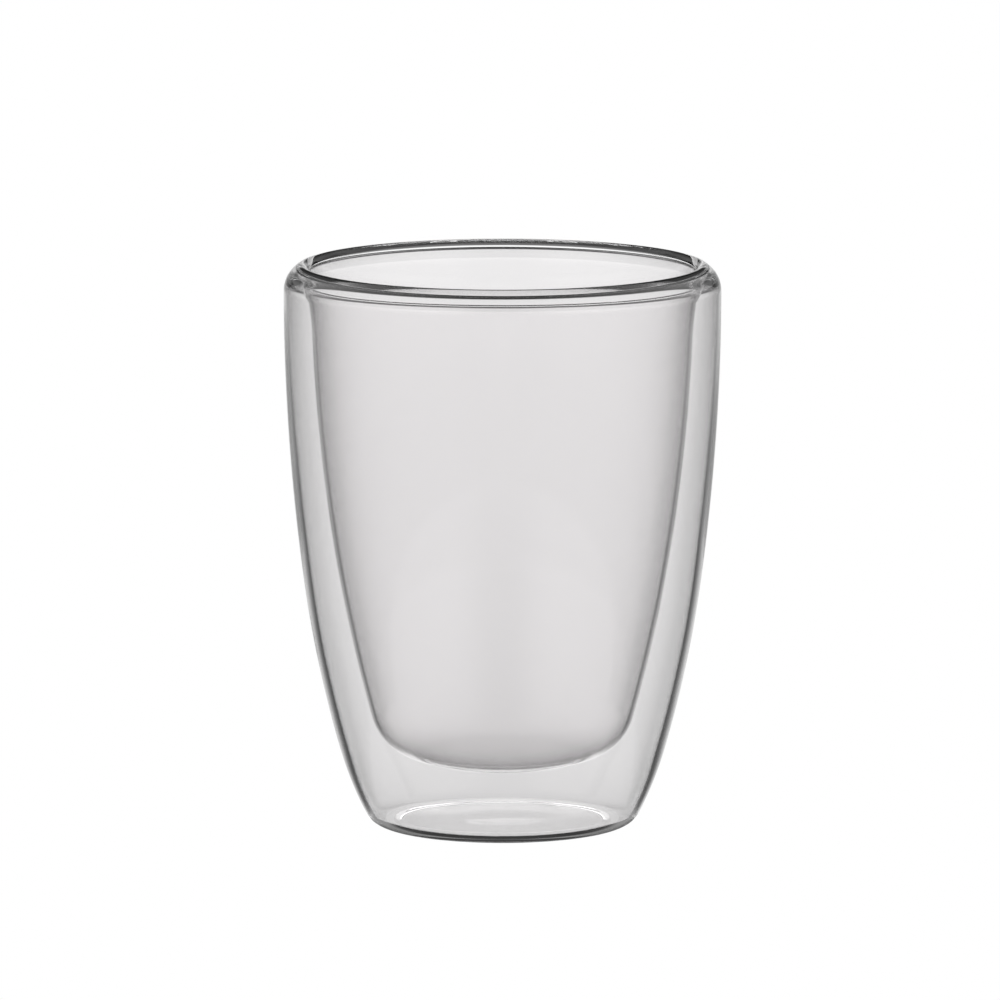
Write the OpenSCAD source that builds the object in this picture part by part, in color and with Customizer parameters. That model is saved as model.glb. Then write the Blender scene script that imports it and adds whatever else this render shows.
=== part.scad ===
/* [Cup] */
// Height of the whole cup
cup_h = 110; // [104:0.5:116]
// Greatest radius of the outer wall
outer_r = 42.5; // [40:0.5:46]

/* [Thickness of the outer wall] */
// Beside the weld under the rim
weld_wall = 1.35; // [1.2:0.05:1.5]
// At its widest place
belly_wall = 0.8; // [0.6:0.05:1.2]
// Along its lower side
side_wall = 1.45; // [1.1:0.05:1.8]
// Where the heel starts
heel_wall = 1.3; // [1:0.05:1.6]
// In the base
base_wall = 1.3; // [1:0.05:1.6]

/* [Thickness of the inner wall] */
// Beside the weld under the rim
neck_wall = 1.05; // [0.9:0.05:1.1]
// At the waist
waist_wall = 0.8; // [0.7:0.05:0.95]
// Where the lower corner starts
corner_wall = 0.85; // [0.6:0.05:1.2]
// In the floor
floor_wall = 0.5; // [0.4:0.05:1.2]

/* [Outer vessel] */
// Height from the widest place to the top of the rim
shoulder_h = 5.15; // [4.9:0.05:6]
// Lean of the wall where the upper side ends, in degrees
upper_lean = 7.7; // [7:0.1:8.5]
// Radius of the curve of the lower side
lower_side_r = 230; // [200:5:260]
// Lean of the wall where the lower side ends, in degrees
lower_lean = 16.1; // [15:0.1:17]
// Radius of the curve above the heel
foot_side_r = 72.5; // [60:0.5:85]
// Lean of the wall where the heel starts, in degrees
foot_lean = 26.7; // [24:0.1:30]
// Radius of the heel
heel_r = 4.5; // [3.5:0.1:6]

/* [Base] */
// Width of the flat ring that the cup rests on
rest_w = 1.5; // [1:0.1:3]
// Width of the bend from the ring up to the hollow under the base
kick_w = 2.3; // [1.5:0.1:4]
// Height of the hollow under the base
base_rise = 0.3; // [0.2:0.05:0.6]
// Radius of the melted disc that closes the base
seal_r = 8; // [5:0.5:14]
// How much thicker the disc is in its middle
seal_swell = 0.06; // [0.02:0.01:0.5]

/* [Rim] */
// Radius of the bead on top of the rim
bead_r = 1.4; // [1.3:0.05:1.5]
// How far the middle of the bead lies inside the widest place
rim_inset = 3.6; // [3.45:0.05:3.7]
// Radius of the vault that closes the air space under the rim
vault_r = 0.7; // [0.5:0.05:0.8]

/* [Inner vessel] */
// Depth of the waist under the top of the rim
waist_drop = 14.2; // [12:0.1:17]
// How far the outside of the waist lies inside the cup's widest place
waist_inset = 5.5; // [5.2:0.05:5.8]
// Lean of the wall at the waist, in degrees
waist_lean = 2.1; // [1:0.1:3]
// Lean of the wall where the lower corner starts, in degrees
side_lean = 15.3; // [14:0.1:17]
// Radius of the lower corner
corner_r = 11.8; // [9:0.1:14]
// Lean of the wall where the corner passes into the floor, in degrees
floor_lean = 72; // [66:0.5:78]
// Height of the floor's underside above the table
floor_z = 10.7; // [8:0.1:16]

/* [Hidden] */
turn_fn = 180;
// Greatest distance between an arc and its chords
arc_tolerance = 0.005;

function polar(r, a) = r * [cos(a), sin(a)];
function angle_of(v) = atan2(v.y, v.x);
function backwards(points) = [for (i = [len(points) - 1:-1:0]) points[i]];
function eased(share) = (1 - cos(180 * share)) / 2;

// Points of an arc after its start, which ends the stretch before it. Its radius can change by its end
function arc(c, r, from, to, change = 0) =
    let (steps = ceil(abs(to - from) / (2 * acos(1 - arc_tolerance / r))))
    [for (i = [1:steps]) c + polar(r + change * eased(i / steps), from + (to - from) * i / steps)];

// Outer wall: one arc leads into the next from the widest place down to the heel
belly_z = cup_h - shoulder_h;
upper_side_r = (belly_z - heel_r * (1 - sin(foot_lean))
    - foot_side_r * (sin(foot_lean) - sin(lower_lean))
    - lower_side_r * (sin(lower_lean) - sin(upper_lean))) / sin(upper_lean);
upper_c = [outer_r - upper_side_r, belly_z];
lower_c = upper_c + polar(upper_side_r - lower_side_r, -upper_lean);
foot_c = lower_c + polar(lower_side_r - foot_side_r, -lower_lean);
heel_c = foot_c + polar(foot_side_r - heel_r, -foot_lean);

// Hollow under the base: two bends lead up to it from the ring that the cup rests on
kick_r = heel_c.x - rest_w;
kick_lean = 2 * atan(base_rise / kick_w);
kick_bend_r = kick_w / 2 / sin(kick_lean);
lower_bend_c = [kick_r, kick_bend_r];
upper_bend_c = [kick_r - kick_w, base_rise - kick_bend_r];
swell_r = (pow(seal_swell, 2) + pow(seal_r, 2)) / (2 * seal_swell);
swell_c = [0, base_wall + seal_swell - swell_r];

// Bead on the rim, and the shoulder that leads to it
bead_c = [outer_r - rim_inset, cup_h - bead_r];
shoulder_lean = 2 * atan((rim_inset - bead_r) / (bead_c.y - belly_z));
shoulder_r = bead_r + (bead_c.y - belly_z) / sin(shoulder_lean);
shoulder_c = [outer_r - shoulder_r, belly_z];

// Inner wall: a flare from the bead to the waist, then side, corner and floor
waist = [outer_r - waist_inset, cup_h - waist_drop];
from_bead = waist - polar(waist_wall, -waist_lean) - bead_c;
flare_r = (pow(bead_r, 2) - from_bead * from_bead)
    / (2 * (from_bead * polar(1, -waist_lean) + bead_r));
flare_c = bead_c + from_bead + polar(flare_r, -waist_lean);
floor_share = (1 - sin(floor_lean)) / cos(floor_lean);
side_r = (waist.y - floor_z - corner_r * (1 - sin(side_lean))
    - (waist.x - corner_r * cos(side_lean)) * floor_share)
    / (sin(side_lean) - sin(waist_lean) - (cos(waist_lean) - cos(side_lean)) * floor_share);
side_c = waist - polar(side_r, -waist_lean);
corner_c = side_c + polar(side_r - corner_r, -side_lean);
floor_r = corner_r + corner_c.x / cos(floor_lean);
floor_c = [0, floor_z + floor_r];

// The vault touches the inside of the shoulder and the outside of the flare
vault_to_shoulder = shoulder_r - weld_wall - vault_r;
vault_to_flare = flare_r - neck_wall - vault_r;
centre_line = flare_c - shoulder_c;
centre_gap = norm(centre_line);
vault_along = (pow(vault_to_shoulder, 2) - pow(vault_to_flare, 2) + pow(centre_gap, 2))
    / (2 * centre_gap);
vault_aside = sqrt(pow(vault_to_shoulder, 2) - pow(vault_along, 2));
vault_c = shoulder_c
    + (vault_along * centre_line + vault_aside * [-centre_line.y, centre_line.x]) / centre_gap;

// The weld meets each wall where the vault touches it
shoulder_joint = angle_of(vault_c - shoulder_c);
flare_joint = angle_of(vault_c - flare_c);
flare_end = angle_of(bead_c - flare_c);

// Faces of the walls: side 0 faces out and side 1 faces in
function outer_face(side) = concat(
    [shoulder_c + polar(shoulder_r - side * weld_wall, shoulder_joint)],
    arc(shoulder_c, shoulder_r - side * weld_wall, shoulder_joint, 0, side * (weld_wall - belly_wall)),
    arc(upper_c, upper_side_r - side * belly_wall, 0, -upper_lean, side * (belly_wall - side_wall)),
    arc(lower_c, lower_side_r - side * side_wall, -upper_lean, -lower_lean),
    arc(foot_c, foot_side_r - side * side_wall, -lower_lean, -foot_lean, side * (side_wall - heel_wall)),
    arc(heel_c, heel_r - side * heel_wall, -foot_lean, -90, side * (heel_wall - base_wall))
);
function inner_face(side) = concat(
    [flare_c + polar(flare_r - (1 - side) * neck_wall, flare_joint)],
    arc(flare_c, flare_r - (1 - side) * neck_wall, flare_joint, 180 - waist_lean,
        (1 - side) * (neck_wall - waist_wall)),
    arc(side_c, side_r - side * waist_wall, -waist_lean, -side_lean, side * (waist_wall - corner_wall)),
    arc(corner_c, corner_r - side * corner_wall, -side_lean, -floor_lean, side * (corner_wall - floor_wall)),
    arc(floor_c, floor_r - side * floor_wall, -floor_lean, -90)
);

// Underside of the base from the resting ring to the edge of the hole
underside = concat(
    [[kick_r, 0]],
    arc(lower_bend_c, kick_bend_r, -90, -90 - kick_lean),
    arc(upper_bend_c, kick_bend_r, 90 - kick_lean, 90),
    [[seal_r, base_rise]]
);

module turned(outline) {
    rotate_extrude($fn = turn_fn)
        polygon(outline);
}

module outer_vessel() {
    color("lightgray", 0.4)
        turned(concat(outer_face(0), underside, [[seal_r, base_wall]], backwards(outer_face(1))));
}

module inner_vessel() {
    color("whitesmoke", 0.4)
        turned(concat(inner_face(0), backwards(inner_face(1))));
}

// Melted ring that joins both walls, with a bead on top and a vault below
module rim_weld() {
    color("gainsboro", 0.4)
        turned(concat(
            [shoulder_c + polar(shoulder_r, shoulder_joint)],
            arc(shoulder_c, shoulder_r, shoulder_joint, shoulder_lean),
            arc(bead_c, bead_r, shoulder_lean, flare_end),
            arc(flare_c, flare_r, flare_end, flare_joint),
            [flare_c + polar(flare_r - neck_wall, flare_joint)],
            arc(vault_c, vault_r, flare_joint, shoulder_joint)
        ));
}

// Melted disc that closes the hole in the outer vessel's base
module base_seal() {
    color("silver", 0.4)
        turned(concat(
            [[0, base_rise], [seal_r, base_rise], [seal_r, base_wall]],
            arc(swell_c, swell_r, angle_of([seal_r, base_wall] - swell_c), 90)
        ));
}

outer_vessel();
inner_vessel();
rim_weld();
base_seal();
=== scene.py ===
import math

import bmesh
import bpy
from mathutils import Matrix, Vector


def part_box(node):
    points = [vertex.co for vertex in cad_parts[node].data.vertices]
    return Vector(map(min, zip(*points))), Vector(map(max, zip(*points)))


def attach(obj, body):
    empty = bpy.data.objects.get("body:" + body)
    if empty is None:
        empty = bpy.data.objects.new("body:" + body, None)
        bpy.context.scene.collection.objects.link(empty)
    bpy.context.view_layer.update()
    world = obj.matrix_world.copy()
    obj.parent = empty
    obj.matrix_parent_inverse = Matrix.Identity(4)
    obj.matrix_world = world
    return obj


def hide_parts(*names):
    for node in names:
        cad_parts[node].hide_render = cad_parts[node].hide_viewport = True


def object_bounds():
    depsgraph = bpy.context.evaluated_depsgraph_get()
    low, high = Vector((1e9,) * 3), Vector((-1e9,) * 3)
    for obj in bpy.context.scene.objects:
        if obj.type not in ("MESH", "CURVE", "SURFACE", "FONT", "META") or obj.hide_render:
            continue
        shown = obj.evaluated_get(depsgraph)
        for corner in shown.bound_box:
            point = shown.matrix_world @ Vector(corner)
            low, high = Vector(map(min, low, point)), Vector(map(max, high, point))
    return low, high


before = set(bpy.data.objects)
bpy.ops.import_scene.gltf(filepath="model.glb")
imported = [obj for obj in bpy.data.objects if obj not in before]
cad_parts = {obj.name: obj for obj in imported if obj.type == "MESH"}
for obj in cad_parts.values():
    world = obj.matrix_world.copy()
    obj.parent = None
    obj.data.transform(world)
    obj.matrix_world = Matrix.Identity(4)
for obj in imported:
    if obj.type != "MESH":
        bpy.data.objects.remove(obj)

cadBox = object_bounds()
cupHeight = cadBox[1].z
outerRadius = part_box("outer_vessel")[1].x

turning = {
    "aroundSteps": 256,      # faces round the cup
    "quarters": 4,           # one is turned, then copied to the others, which is quicker
    "arcStep": 1.25,         # degrees of bend for each face along the section
    "bendStep": 1.4,         # the same in the two bends under the base
    "faceLength": 0.0016,    # longest face along the section
    "mergeDistance": 1e-6,
}
quarterTurn = 2 * math.pi / turning["quarters"]


def sine(angle):
    return math.sin(math.radians(angle))


def cosine(angle):
    return math.cos(math.radians(angle))


# The section lies in the XZ plane: x is the distance from the axis, y of a 2-D point is its height
def along(length, angle):
    return Vector((cosine(angle), sine(angle))) * length


def angleOf(step):
    return math.degrees(math.atan2(step.y, step.x))


def sectionPoint(vert):
    return Vector((vert.co.x, vert.co.z))


def startAt(bm, point):
    return bmesh.ops.create_vert(bm, co=(point.x, 0, point.y))["vert"][0]


def lineTo(bm, vert, point):
    end = bmesh.ops.extrude_vert_indiv(bm, verts=[vert])["verts"][0]
    end.co = (point.x, 0, point.y)
    return end


# An arc whose distance from its centre changes smoothly by the end
def sweepBy(bm, vert, centre, turn, change=0, arcStep=turning["arcStep"]):
    radius = (sectionPoint(vert) - centre).length
    byAngle = abs(turn) / arcStep
    byLength = radius * math.radians(abs(turn)) / turning["faceLength"]
    known = set(bm.verts)
    startAngle = angleOf(sectionPoint(vert) - centre)
    swept = bmesh.ops.spin(
        bm, geom=[vert], cent=(centre.x, 0, centre.y), axis=(0, -1, 0),
        angle=math.radians(turn), steps=max(1, math.ceil(max(byAngle, byLength))))
    end = [part for part in swept["geom_last"] if isinstance(part, bmesh.types.BMVert)][0]
    for part in bm.verts:
        if part not in known:
            arm = sectionPoint(part) - centre
            turned = (angleOf(arm) - startAngle + 180) % 360 - 180
            moved = arm.normalized() * change * (1 - math.cos(math.pi * turned / turn)) / 2
            part.co += Vector((moved.x, 0, moved.y))
    return end


def newEdges(bm, known):
    return [edge for edge in bm.edges if edge not in known]


def turnRound(bm, edges, slotIndex):
    known = set(bm.faces)
    verts = list(dict.fromkeys(vert for edge in edges for vert in edge.verts))   # once each, in order
    bmesh.ops.spin(
        bm, geom=verts + edges, cent=(0, 0, 0), axis=(0, 0, 1), angle=quarterTurn,
        steps=turning["aroundSteps"] // turning["quarters"])
    for face in bm.faces:
        if face not in known:
            face.material_index = slotIndex


# Spin lists its edges and faces in another order each run, so they are sorted by their verts
def putInOrder(elements):
    ordered = sorted(elements, key=lambda element: sorted(vert.index for vert in element.verts))
    for rank, element in enumerate(ordered):
        element.index = rank
    elements.sort()


def closeRound(bm):
    copies = turning["quarters"] - 1
    bmesh.ops.spin(
        bm, geom=bm.verts[:] + bm.edges[:] + bm.faces[:], cent=(0, 0, 0), axis=(0, 0, 1),
        angle=quarterTurn * copies, steps=copies, use_duplicate=True)
    bmesh.ops.remove_doubles(bm, verts=bm.verts, dist=turning["mergeDistance"])
    bmesh.ops.recalc_face_normals(bm, faces=bm.faces)
    bm.verts.index_update()
    putInOrder(bm.edges)
    putInOrder(bm.faces)


def makePiece(bm, name, node, materials):
    closeRound(bm)
    for face in bm.faces:
        face.smooth = True
    for edge in bm.edges:
        if len({face.material_index for face in edge.link_faces}) > 1:
            edge.smooth = False      # crisp where a wall ends at a joint
    mesh = bpy.data.meshes.new(name)
    bm.to_mesh(mesh)
    bm.free()
    for material in materials:
        mesh.materials.append(material)
    piece = bpy.data.objects.new(name, mesh)
    bpy.context.scene.collection.objects.link(piece)
    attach(piece, "root")
    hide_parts(node)
    print("made", name, len(mesh.polygons), "faces")


# Glass
blownGlass = {
    "tint": (1.0, 0.994, 0.996, 1),
    "ior": 1.47,
    "waveScale": 55,             # faint waves in its surface
    "waveDepth": 0.00002,
}
meltedGlass = {
    "tint": (1.0, 0.994, 0.996, 1),
    "ior": 1.47,
    "waveScale": 160,
    "waveDepth": 0.00002,
}


def newMaterial(name):
    material = bpy.data.materials.new(name)
    material.use_nodes = True
    material.node_tree.nodes.clear()
    return material, material.node_tree.nodes, material.node_tree.links


def clearGlass(name, look):
    material, nodes, links = newMaterial(name)
    output = nodes.new("ShaderNodeOutputMaterial")
    shader = nodes.new("ShaderNodeBsdfPrincipled")
    shader.inputs["Base Color"].default_value = look["tint"]
    shader.inputs["Roughness"].default_value = 0
    shader.inputs["IOR"].default_value = look["ior"]
    shader.inputs["Transmission Weight"].default_value = 1
    place = nodes.new("ShaderNodeTexCoord")
    waves = nodes.new("ShaderNodeTexNoise")
    waves.inputs["Scale"].default_value = look["waveScale"]
    waves.inputs["Detail"].default_value = 1
    bump = nodes.new("ShaderNodeBump")
    bump.inputs["Strength"].default_value = 1
    bump.inputs["Distance"].default_value = look["waveDepth"]
    links.new(place.outputs["Object"], waves.inputs["Vector"])
    links.new(waves.outputs["Fac"], bump.inputs["Height"])
    links.new(bump.outputs["Normal"], shader.inputs["Normal"])
    links.new(shader.outputs["BSDF"], output.inputs["Surface"])
    return material


# Two pieces are one glass where they are fused, so the faces between them can't be seen
def fusedJoint(name):
    material, nodes, links = newMaterial(name)
    output = nodes.new("ShaderNodeOutputMaterial")
    clear = nodes.new("ShaderNodeBsdfTransparent")
    links.new(clear.outputs["BSDF"], output.inputs["Surface"])
    return material


blownMaterial = clearGlass("blownGlass", blownGlass)
meltedMaterial = clearGlass("meltedGlass", meltedGlass)
jointMaterial = fusedJoint("fusedJoint")
print("made glass materials")

# Outer vessel: arcs from the shoulder down to the heel and in under the base
outerVessel = {
    "weldWall": 0.00135,         # thickness of the glass beside the rim's weld
    "bellyWall": 0.0008,
    "sideWall": 0.00145,
    "heelWall": 0.0013,
    "baseWall": 0.0013,
    "shoulderHeight": 0.00515,   # from the widest place to the top of the rim
    "upperLean": 7.7,            # degrees
    "lowerSideRadius": 0.230,
    "lowerLean": 16.1,
    "footSideRadius": 0.0725,
    "footLean": 26.7,
    "heelRadius": 0.0045,
    "restWidth": 0.0015,
    "kickWidth": 0.0023,         # the bend from the resting ring up to the hollow
    "baseRise": 0.0003,
    "sealRadius": 0.008,
}

bellyHeight = cupHeight - outerVessel["shoulderHeight"]
upperSideRadius = (
    bellyHeight - outerVessel["heelRadius"] * (1 - sine(outerVessel["footLean"]))
    - outerVessel["footSideRadius"] * (sine(outerVessel["footLean"]) - sine(outerVessel["lowerLean"]))
    - outerVessel["lowerSideRadius"] * (sine(outerVessel["lowerLean"]) - sine(outerVessel["upperLean"]))
) / sine(outerVessel["upperLean"])
upperCentre = Vector((outerRadius - upperSideRadius, bellyHeight))
lowerCentre = upperCentre + along(
    upperSideRadius - outerVessel["lowerSideRadius"], -outerVessel["upperLean"])
footCentre = lowerCentre + along(
    outerVessel["lowerSideRadius"] - outerVessel["footSideRadius"], -outerVessel["lowerLean"])
heelCentre = footCentre + along(
    outerVessel["footSideRadius"] - outerVessel["heelRadius"], -outerVessel["footLean"])

# The hollow under the base
kickRadius = heelCentre.x - outerVessel["restWidth"]
kickLean = 2 * math.degrees(math.atan(outerVessel["baseRise"] / outerVessel["kickWidth"]))
bendRadius = outerVessel["kickWidth"] / 2 / sine(kickLean)
lowerBend = Vector((kickRadius, bendRadius))
upperBend = Vector((kickRadius - outerVessel["kickWidth"], outerVessel["baseRise"] - bendRadius))
sealLow = Vector((outerVessel["sealRadius"], outerVessel["baseRise"]))
sealHigh = Vector((outerVessel["sealRadius"], outerVessel["baseWall"]))

# Rim: the bead on top, and the shoulder that leads to it
rimWeld = {
    "beadRadius": 0.0014,
    "inset": 0.0036,             # middle of the bead, inside the widest place
    "vaultRadius": 0.0007,
    "arcStep": 2.0,              # degrees
}

beadRadius = rimWeld["beadRadius"]
beadCentre = Vector((outerRadius - rimWeld["inset"], cupHeight - beadRadius))
beadRise = beadCentre.y - bellyHeight
shoulderLean = 2 * math.degrees(math.atan((rimWeld["inset"] - beadRadius) / beadRise))
shoulderRadius = beadRadius + beadRise / sine(shoulderLean)
shoulderCentre = Vector((outerRadius - shoulderRadius, bellyHeight))

# Inner vessel: a flare from the bead to the waist, then side, corner and floor
innerVessel = {
    "neckWall": 0.00105,         # thickness of the glass beside the rim's weld
    "waistWall": 0.0008,
    "cornerWall": 0.00085,
    "floorWall": 0.0005,
    "waistDrop": 0.0142,         # from the top of the rim
    "waistInset": 0.0055,        # from the cup's widest place
    "waistLean": 2.1,            # degrees
    "sideLean": 15.3,
    "cornerRadius": 0.0118,
    "floorLean": 72,
    "floorHeight": 0.0107,
}

waist = Vector((outerRadius - innerVessel["waistInset"], cupHeight - innerVessel["waistDrop"]))
fromBead = waist - along(innerVessel["waistWall"], -innerVessel["waistLean"]) - beadCentre
flareRadius = (beadRadius ** 2 - fromBead.dot(fromBead)) / (
    2 * (fromBead.dot(along(1, -innerVessel["waistLean"])) + beadRadius))
flareCentre = beadCentre + fromBead + along(flareRadius, -innerVessel["waistLean"])
floorShare = (1 - sine(innerVessel["floorLean"])) / cosine(innerVessel["floorLean"])
sideRadius = (
    waist.y - innerVessel["floorHeight"]
    - innerVessel["cornerRadius"] * (1 - sine(innerVessel["sideLean"]))
    - (waist.x - innerVessel["cornerRadius"] * cosine(innerVessel["sideLean"])) * floorShare
) / (sine(innerVessel["sideLean"]) - sine(innerVessel["waistLean"])
     - (cosine(innerVessel["waistLean"]) - cosine(innerVessel["sideLean"])) * floorShare)
sideCentre = waist - along(sideRadius, -innerVessel["waistLean"])
cornerCentre = sideCentre + along(sideRadius - innerVessel["cornerRadius"], -innerVessel["sideLean"])
floorRadius = innerVessel["cornerRadius"] + cornerCentre.x / cosine(innerVessel["floorLean"])
floorCentre = Vector((0, innerVessel["floorHeight"] + floorRadius))

# The vault under the rim touches both walls, and the weld ends there
vaultToShoulder = shoulderRadius - outerVessel["weldWall"] - rimWeld["vaultRadius"]
vaultToFlare = flareRadius - innerVessel["neckWall"] - rimWeld["vaultRadius"]
centreLine = flareCentre - shoulderCentre
vaultAlong = (
    vaultToShoulder ** 2 - vaultToFlare ** 2 + centreLine.length ** 2) / (2 * centreLine.length)
vaultAside = math.sqrt(vaultToShoulder ** 2 - vaultAlong ** 2)
vaultCentre = shoulderCentre + (
    vaultAlong * centreLine + vaultAside * Vector((-centreLine.y, centreLine.x))) / centreLine.length
shoulderJoint = angleOf(vaultCentre - shoulderCentre)
flareJoint = angleOf(vaultCentre - flareCentre)
flareEnd = angleOf(beadCentre - flareCentre)


# Side 0 of a wall faces out and side 1 faces in
def outerFace(bm, side):
    known = set(bm.edges)
    weld, belly, middle, heel, base = (
        side * outerVessel[place]
        for place in ("weldWall", "bellyWall", "sideWall", "heelWall", "baseWall"))
    start = startAt(bm, shoulderCentre + along(shoulderRadius - weld, shoulderJoint))
    vert = sweepBy(bm, start, shoulderCentre, -shoulderJoint, weld - belly)
    vert = sweepBy(bm, vert, upperCentre, -outerVessel["upperLean"], belly - middle)
    vert = sweepBy(bm, vert, lowerCentre, outerVessel["upperLean"] - outerVessel["lowerLean"])
    vert = sweepBy(
        bm, vert, footCentre, outerVessel["lowerLean"] - outerVessel["footLean"], middle - heel)
    vert = sweepBy(bm, vert, heelCentre, outerVessel["footLean"] - 90, heel - base)
    if side == 0:
        vert = lineTo(bm, vert, Vector((kickRadius, 0)))
        vert = sweepBy(bm, vert, lowerBend, -kickLean, arcStep=turning["bendStep"])
        vert = sweepBy(bm, vert, upperBend, kickLean, arcStep=turning["bendStep"])
    end = lineTo(bm, vert, sealHigh if side else sealLow)
    return newEdges(bm, known), start, end


def innerFace(bm, side):
    known = set(bm.edges)
    neck, waistSide = ((1 - side) * innerVessel[place] for place in ("neckWall", "waistWall"))
    waistDepth, corner, floor = (
        side * innerVessel[place] for place in ("waistWall", "cornerWall", "floorWall"))
    start = startAt(bm, flareCentre + along(flareRadius - neck, flareJoint))
    vert = sweepBy(
        bm, start, flareCentre, 180 - innerVessel["waistLean"] - flareJoint, neck - waistSide)
    vert = sweepBy(
        bm, vert, sideCentre, innerVessel["waistLean"] - innerVessel["sideLean"], waistDepth - corner)
    vert = sweepBy(
        bm, vert, cornerCentre, innerVessel["sideLean"] - innerVessel["floorLean"], corner - floor)
    end = sweepBy(bm, vert, floorCentre, innerVessel["floorLean"] - 90)
    end.co.x = 0
    return newEdges(bm, known), start


def makeOuterVessel():
    bm = bmesh.new()
    outside, outsideTop, outsideSeam = outerFace(bm, 0)
    inside, insideTop, insideSeam = outerFace(bm, 1)
    joints = [bm.edges.new((outsideTop, insideTop)), bm.edges.new((outsideSeam, insideSeam))]
    turnRound(bm, outside + inside, 0)
    turnRound(bm, joints, 1)
    makePiece(bm, "outerVessel", "outer_vessel", [blownMaterial, jointMaterial])


def makeInnerVessel():
    bm = bmesh.new()
    outside, outsideTop = innerFace(bm, 0)
    inside, insideTop = innerFace(bm, 1)
    joints = [bm.edges.new((outsideTop, insideTop))]
    turnRound(bm, outside + inside, 0)
    turnRound(bm, joints, 1)
    makePiece(bm, "innerVessel", "inner_vessel", [blownMaterial, jointMaterial])


def makeRimWeld():
    bm = bmesh.new()
    step = rimWeld["arcStep"]
    outsideTop = startAt(bm, shoulderCentre + along(shoulderRadius, shoulderJoint))
    vert = sweepBy(bm, outsideTop, shoulderCentre, shoulderLean - shoulderJoint, arcStep=step)
    vert = sweepBy(bm, vert, beadCentre, flareEnd - shoulderLean, arcStep=step)
    insideTop = sweepBy(bm, vert, flareCentre, flareJoint - flareEnd, arcStep=step)
    vaultStart = startAt(bm, flareCentre + along(flareRadius - innerVessel["neckWall"], flareJoint))
    vaultEnd = sweepBy(bm, vaultStart, vaultCentre, shoulderJoint - flareJoint, arcStep=step)
    skin = list(bm.edges)
    joints = [bm.edges.new((outsideTop, vaultEnd)), bm.edges.new((insideTop, vaultStart))]
    turnRound(bm, skin, 0)
    turnRound(bm, joints, 1)
    makePiece(bm, "rimWeld", "rim_weld", [meltedMaterial, jointMaterial])


# Base seal: a disc a little thicker in its middle
baseSeal = {
    "swell": 0.00006,
}


def makeBaseSeal():
    bm = bmesh.new()
    swellRadius = (baseSeal["swell"] ** 2 + sealHigh.x ** 2) / (2 * baseSeal["swell"])
    swellCentre = Vector((0, sealHigh.y + baseSeal["swell"] - swellRadius))
    underside = startAt(bm, Vector((0, outerVessel["baseRise"])))
    seamLow = lineTo(bm, underside, sealLow)
    topside = startAt(bm, swellCentre + along(swellRadius, 90))
    seamHigh = sweepBy(bm, topside, swellCentre, angleOf(sealHigh - swellCentre) - 90)
    skin = list(bm.edges)
    joints = [bm.edges.new((seamLow, seamHigh))]
    for middle in (underside, topside):
        middle.co.x = 0
    turnRound(bm, skin, 0)
    turnRound(bm, joints, 1)
    makePiece(bm, "baseSeal", "base_seal", [meltedMaterial, jointMaterial])


makeOuterVessel()
makeInnerVessel()
makeRimWeld()
makeBaseSeal()


# Studio
def feed(links, socket, value):
    if isinstance(value, (int, float)):
        socket.default_value = value
    else:
        links.new(value, socket)


def mathNode(nodes, links, operation, *values):
    node = nodes.new("ShaderNodeMath")
    node.operation = operation
    for socket, value in zip(node.inputs, values):
        feed(links, socket, value)
    return node.outputs["Value"]


def rangeNode(nodes, links, value, fromLow, fromHigh, toLow, toHigh):
    node = nodes.new("ShaderNodeMapRange")
    node.interpolation_type = "SMOOTHSTEP"
    links.new(value, node.inputs["Value"])
    node.inputs["From Min"].default_value = fromLow
    node.inputs["From Max"].default_value = fromHigh
    node.inputs["To Min"].default_value = toLow
    node.inputs["To Max"].default_value = toHigh
    return node.outputs["Result"]


def mixNode(nodes, links, factor, first, second):
    node = nodes.new("ShaderNodeMix")
    node.data_type = "FLOAT"
    for socket, value in zip(node.inputs[:1] + node.inputs[2:4], (factor, first, second)):
        feed(links, socket, value)
    return node.outputs[0]


# A smooth curve through points, each a place and its height
def curveNode(nodes, links, value, points):
    node = nodes.new("ShaderNodeFloatCurve")
    curve = node.mapping.curves[0]
    for point, place in zip(curve.points, (points[0], points[-1])):
        point.location = place
    for place in points[1:-1]:
        curve.points.new(*place)
    node.mapping.update()
    links.new(value, node.inputs["Value"])
    return node.outputs["Value"]


countSlack = 0.5                 # bounces and faces are whole numbers, so half of one tells them apart

room = {
    "paleTone": 1.1,             # the backdrop
    "darkTone": 0.05,            # the ceiling
    "clearBelow": 6.5,           # degrees above the horizon: the backdrop reaches up to here
    "darkAbove": 10.7,
    # Degrees aside from the place behind the cup, and the share of its tone that the glass mirrors there
    "asideShares": (
        (0, 1), (3, 0.85), (6, 0.68), (11, 0.6), (15, 0.48), (19, 0.36), (22.5, 0.29), (25.5, 0.2),
        (28, 0.1), (34, 0.07), (42, 0.08), (52, 0.14), (70, 0.2), (90, 0.25), (180, 0.25)),
    "sideFrom": 5,               # degrees aside: soft light from both sides grows from here
    "sideTo": 40,                # to here
    "sideAbove": 7,              # degrees above the horizon: it lies above this
    "sideTone": 0.65,
    "baseFaces": 4,              # faces of glass on the way to the backdrop mirrored in the base
    "baseClear": 20,             # degrees above the horizon: the base mirrors the backdrop up to here
    "baseDark": 30,
    "baseAside": 18,             # and so far to its sides
    "guidedBounces": 15,         # light that the wall guides further than this is dim
    "lampBounces": 55,           # or comes from the lamp overhead, down the wall to the base
    "lampSpread": 15,
    "lampLow": 40,               # degrees above the horizon
    "lampHigh": 45,
    "lampTone": 3,
}


def asideShare(nodes, links, across, away):
    turn = mathNode(nodes, links, "ABSOLUTE", mathNode(nodes, links, "ARCTAN2", across, away))
    points = [(angle / 180, share) for angle, share in room["asideShares"]]
    return curveNode(nodes, links, mathNode(nodes, links, "DIVIDE", turn, math.pi), points)


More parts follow.
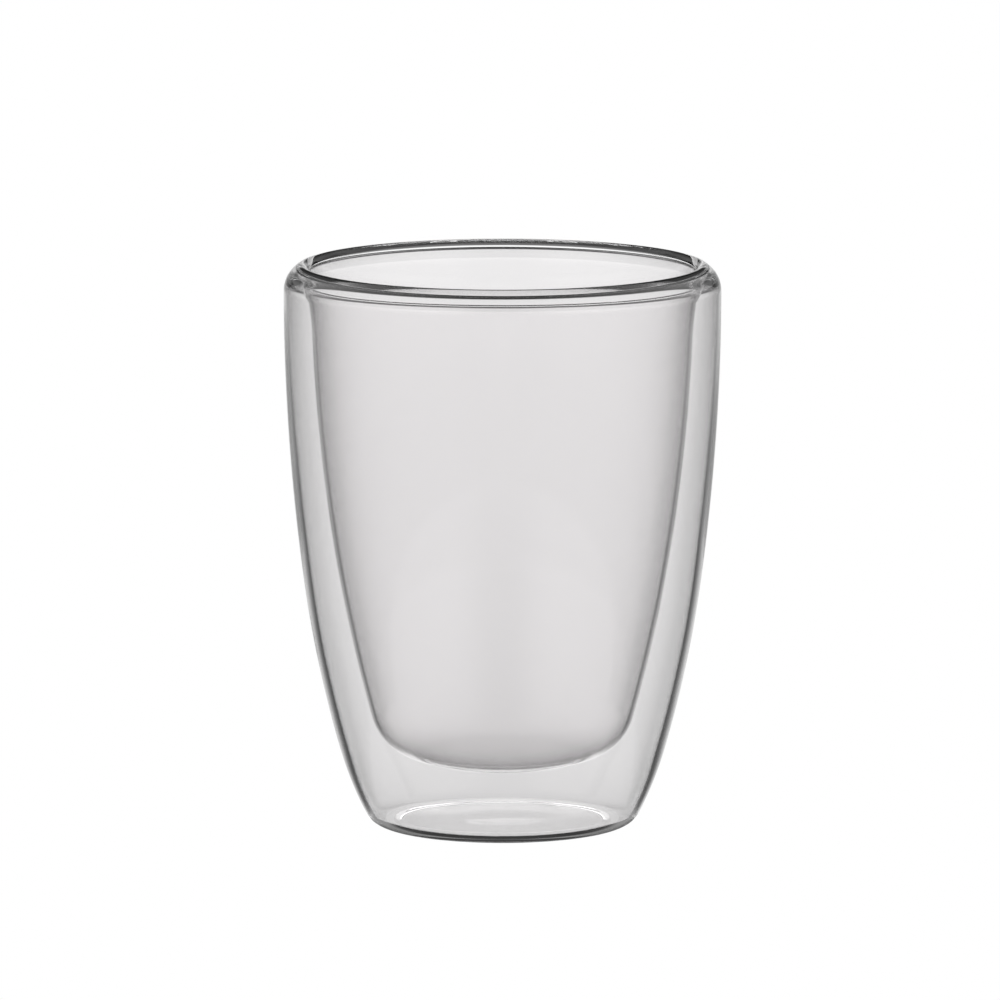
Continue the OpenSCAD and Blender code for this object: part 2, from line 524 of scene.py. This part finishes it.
def makeRoom():
    world = bpy.data.worlds.new("softRoom")
    bpy.context.scene.world = world
    world.use_nodes = True
    nodes, links = world.node_tree.nodes, world.node_tree.links
    nodes.clear()
    output = nodes.new("ShaderNodeOutputWorld")
    light = nodes.new("ShaderNodeBackground")
    path = nodes.new("ShaderNodeLightPath")
    place = nodes.new("ShaderNodeTexCoord")
    axes = nodes.new("ShaderNodeSeparateXYZ")
    links.new(place.outputs["Generated"], axes.inputs["Vector"])
    height = axes.outputs["Z"]
    bounces = path.outputs["Glossy Depth"]
    ceiling = rangeNode(nodes, links, height, sine(room["clearBelow"]), sine(room["darkAbove"]), 0, 1)
    seen = mixNode(nodes, links, ceiling, room["paleTone"], room["darkTone"])
    # What the glass mirrors: the backdrop behind, and darker sides and front
    share = asideShare(nodes, links, axes.outputs["X"], axes.outputs["Y"])
    mirrored = mathNode(nodes, links, "MULTIPLY", share, room["paleTone"])
    mirrored = mixNode(nodes, links, ceiling, mirrored, room["darkTone"])
    once = mathNode(nodes, links, "COMPARE", bounces, 1, countSlack)
    # Soft light from both sides
    aside = mathNode(nodes, links, "ABSOLUTE", axes.outputs["X"])
    aside = rangeNode(nodes, links, aside, sine(room["sideFrom"]), sine(room["sideTo"]), 0, 1)
    above = mathNode(nodes, links, "GREATER_THAN", height, sine(room["sideAbove"]))
    aside = mathNode(nodes, links, "MULTIPLY", once, mathNode(nodes, links, "MULTIPLY", aside, above))
    mirrored = mixNode(nodes, links, aside, mirrored, room["sideTone"])
    # The backdrop as the base mirrors it
    inBase = rangeNode(nodes, links, height, sine(room["baseClear"]), sine(room["baseDark"]),
                       room["paleTone"], room["darkTone"])
    faces = mathNode(
        nodes, links, "COMPARE", path.outputs["Transmission Depth"], room["baseFaces"], countSlack)
    behind = mathNode(nodes, links, "GREATER_THAN", axes.outputs["Y"], cosine(room["baseAside"]))
    behind = mathNode(nodes, links, "MULTIPLY", behind, mathNode(nodes, links, "MULTIPLY", faces, once))
    mirrored = mixNode(nodes, links, behind, mirrored, inBase)
    # Light that the wall guides, and the lamp
    guided = mathNode(nodes, links, "GREATER_THAN", bounces, room["guidedBounces"])
    lamp = rangeNode(
        nodes, links, height, sine(room["lampLow"]), sine(room["lampHigh"]), 0, room["lampTone"])
    fromLamp = mathNode(nodes, links, "COMPARE", bounces, room["lampBounces"], room["lampSpread"])
    lamp = mathNode(nodes, links, "MULTIPLY_ADD", lamp, fromLamp, room["darkTone"])
    mirrored = mixNode(nodes, links, guided, mirrored, lamp)
    reflected = mathNode(nodes, links, "GREATER_THAN", bounces, countSlack)
    tone = mixNode(nodes, links, reflected, seen, mirrored)
    tone = mixNode(nodes, links, path.outputs["Is Camera Ray"], tone, 1)
    links.new(tone, light.inputs["Strength"])
    links.new(light.outputs["Background"], output.inputs["Surface"])


floorLook = {
    "radius": 4.0,
    "edgeSteps": 128,
    "fadeDistance": 0.75,        # where the floor seen through the glass has its own tone; nearer the cup painted shade darkens it
    "fadeNearest": 0.04,         # share of that distance within which it fades no further
    "fadeRate": 0.05,
    "tone": 0.925,
    "steepFrom": 30,             # degrees down to the floor: steeper mirrored views of it darken, as painted shade
    "steepTo": 40,
    "steepShare": 0.15,
    "cupSide": 0.0275,           # the sides darken from here outwards, as painted shade
    "baseBounces": 2,            # painted light: what the ring of the base mirrors is pale near the cup
    "baseReach": 0.06,
    "openTone": 1.0,             # where nothing stands between it and the camera
}


def makeFloor():
    bm = bmesh.new()
    bmesh.ops.create_circle(
        bm, cap_ends=True, segments=floorLook["edgeSteps"], radius=floorLook["radius"])
    mesh = bpy.data.meshes.new("floor")
    bm.to_mesh(mesh)
    bm.free()
    floor = bpy.data.objects.new("floor", mesh)
    bpy.context.scene.collection.objects.link(floor)
    material, nodes, links = newMaterial("paleFloor")
    output = nodes.new("ShaderNodeOutputMaterial")
    glow = nodes.new("ShaderNodeEmission")
    path = nodes.new("ShaderNodeLightPath")
    place = nodes.new("ShaderNodeTexCoord")
    axes = nodes.new("ShaderNodeSeparateXYZ")
    far = nodes.new("ShaderNodeVectorMath")
    far.operation = "LENGTH"
    links.new(place.outputs["Object"], far.inputs[0])
    links.new(place.outputs["Object"], axes.inputs["Vector"])
    bounces = path.outputs["Glossy Depth"]
    # Seen through the glass: painted shade, the floor darker towards the cup and paler far off
    distance = mathNode(nodes, links, "DIVIDE", far.outputs["Value"], floorLook["fadeDistance"])
    distance = mathNode(nodes, links, "MAXIMUM", distance, floorLook["fadeNearest"])
    paintedShade = mathNode(nodes, links, "LOGARITHM", distance, math.e)
    seen = mathNode(nodes, links, "MULTIPLY_ADD", paintedShade, floorLook["fadeRate"], floorLook["tone"])
    # Mirrored in the glass: painted shade, darker to the sides, in steep views and for light the wall
    # guides, and painted light, pale near the cup where the ring of the base mirrors it
    across = mathNode(nodes, links, "ABSOLUTE", axes.outputs["X"])
    across = mathNode(nodes, links, "SUBTRACT", across, floorLook["cupSide"])
    share = asideShare(nodes, links, mathNode(nodes, links, "MAXIMUM", across, 0), axes.outputs["Y"])
    lean = nodes.new("ShaderNodeLayerWeight")
    steep = rangeNode(nodes, links, lean.outputs["Facing"], 1 - sine(floorLook["steepFrom"]),
                      1 - sine(floorLook["steepTo"]), 1, floorLook["steepShare"])
    share = mathNode(nodes, links, "MULTIPLY", share, steep)
    inBase = mathNode(nodes, links, "COMPARE", bounces, floorLook["baseBounces"], countSlack)
    near = mathNode(nodes, links, "LESS_THAN", far.outputs["Value"], floorLook["baseReach"])
    share = mixNode(nodes, links, mathNode(nodes, links, "MULTIPLY", inBase, near), share, 1)
    guided = mathNode(nodes, links, "GREATER_THAN", bounces, room["guidedBounces"])
    share = mixNode(nodes, links, guided, share, room["darkTone"])
    mirrored = mathNode(nodes, links, "MULTIPLY", share, room["paleTone"])
    reflected = mathNode(nodes, links, "GREATER_THAN", bounces, countSlack)
    tone = mixNode(nodes, links, reflected, seen, mirrored)
    tone = mixNode(nodes, links, path.outputs["Is Camera Ray"], tone, floorLook["openTone"])
    links.new(tone, glow.inputs["Strength"])
    links.new(glow.outputs["Emission"], output.inputs["Surface"])
    mesh.materials.append(material)


makeRoom()
makeFloor()
print("made room and floor")

camera = {
    "distance": 2.2,             # in front of the cup's axis
    "height": 0.3921,
    "aimHeight": 0.06365,        # the middle of the picture
    "side": -0.00049,
    "lens": 411.3,               # millimetres, as the sensor
    "sensor": 36,
}


def makeCamera():
    data = bpy.data.cameras.new("camera")
    data.lens = camera["lens"]
    data.sensor_width = camera["sensor"]
    eye = bpy.data.objects.new("camera", data)
    bpy.context.scene.collection.objects.link(eye)
    eye.location = (camera["side"], -camera["distance"], camera["height"])
    drop = math.atan2(camera["height"] - camera["aimHeight"], camera["distance"])
    eye.rotation_euler = (math.pi / 2 - drop, 0, 0)
    bpy.context.scene.camera = eye


lightSteps = {
    "inGlass": 120,              # how often light may enter, leave or mirror in the glass
    "throughJoints": 240,
}


def setPicture():
    scene = bpy.context.scene
    scene.view_settings.view_transform = "Standard"
    scene.cycles.max_bounces = lightSteps["inGlass"]
    scene.cycles.transmission_bounces = lightSteps["inGlass"]
    scene.cycles.glossy_bounces = lightSteps["inGlass"]
    scene.cycles.transparent_max_bounces = lightSteps["throughJoints"]


makeCamera()
setPicture()
print("made camera")
